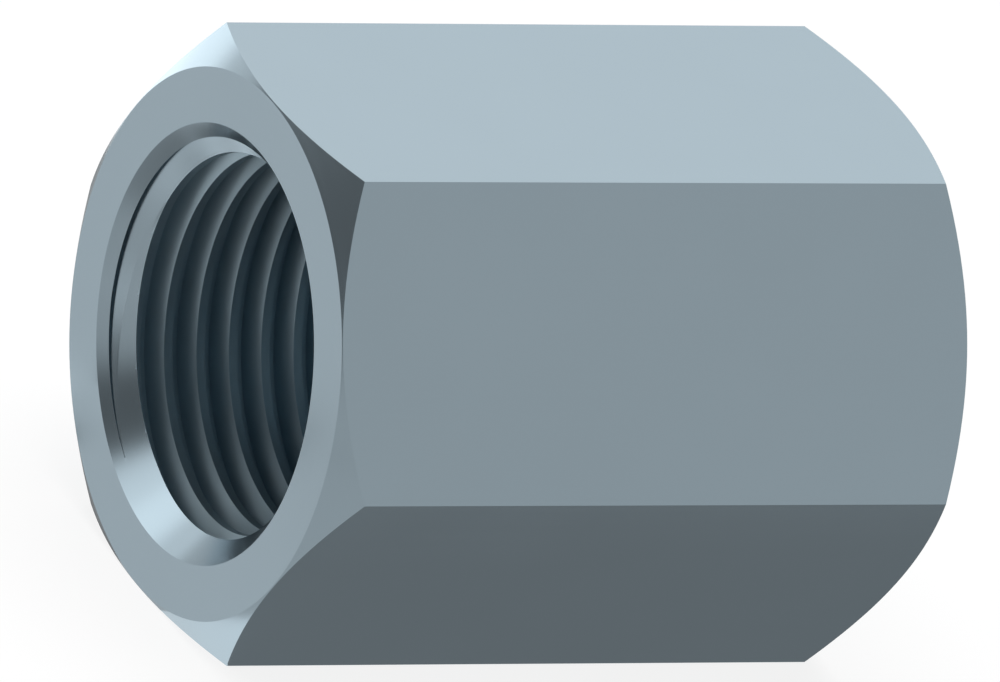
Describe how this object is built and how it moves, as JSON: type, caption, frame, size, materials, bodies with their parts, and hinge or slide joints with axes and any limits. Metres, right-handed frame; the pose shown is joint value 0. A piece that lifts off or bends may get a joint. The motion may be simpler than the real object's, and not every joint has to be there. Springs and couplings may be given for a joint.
{
  "type": "reducing pipe coupling",
  "caption": "Hexagonal steel pipe coupling with chamfered corners and a countersunk internal pipe thread at each end, one larger than the other, joining two pipe sizes.",
  "frame": {"origin": "on the pipe axis, at mid-length", "axes": "+X along the pipe axis, out of the small socket; -X out of the large socket; +Z square to a flat, up when the coupling lies on the opposite flat"},
  "size_m": [0.035, 0.0312, 0.027],
  "materials": {
    "plated_steel": "bright blue-grey zinc plate over drawn and turned steel"
  },
  "bodies": {
    "root": {"coupling_body": "plated_steel"}
  },
  "joints": []
}
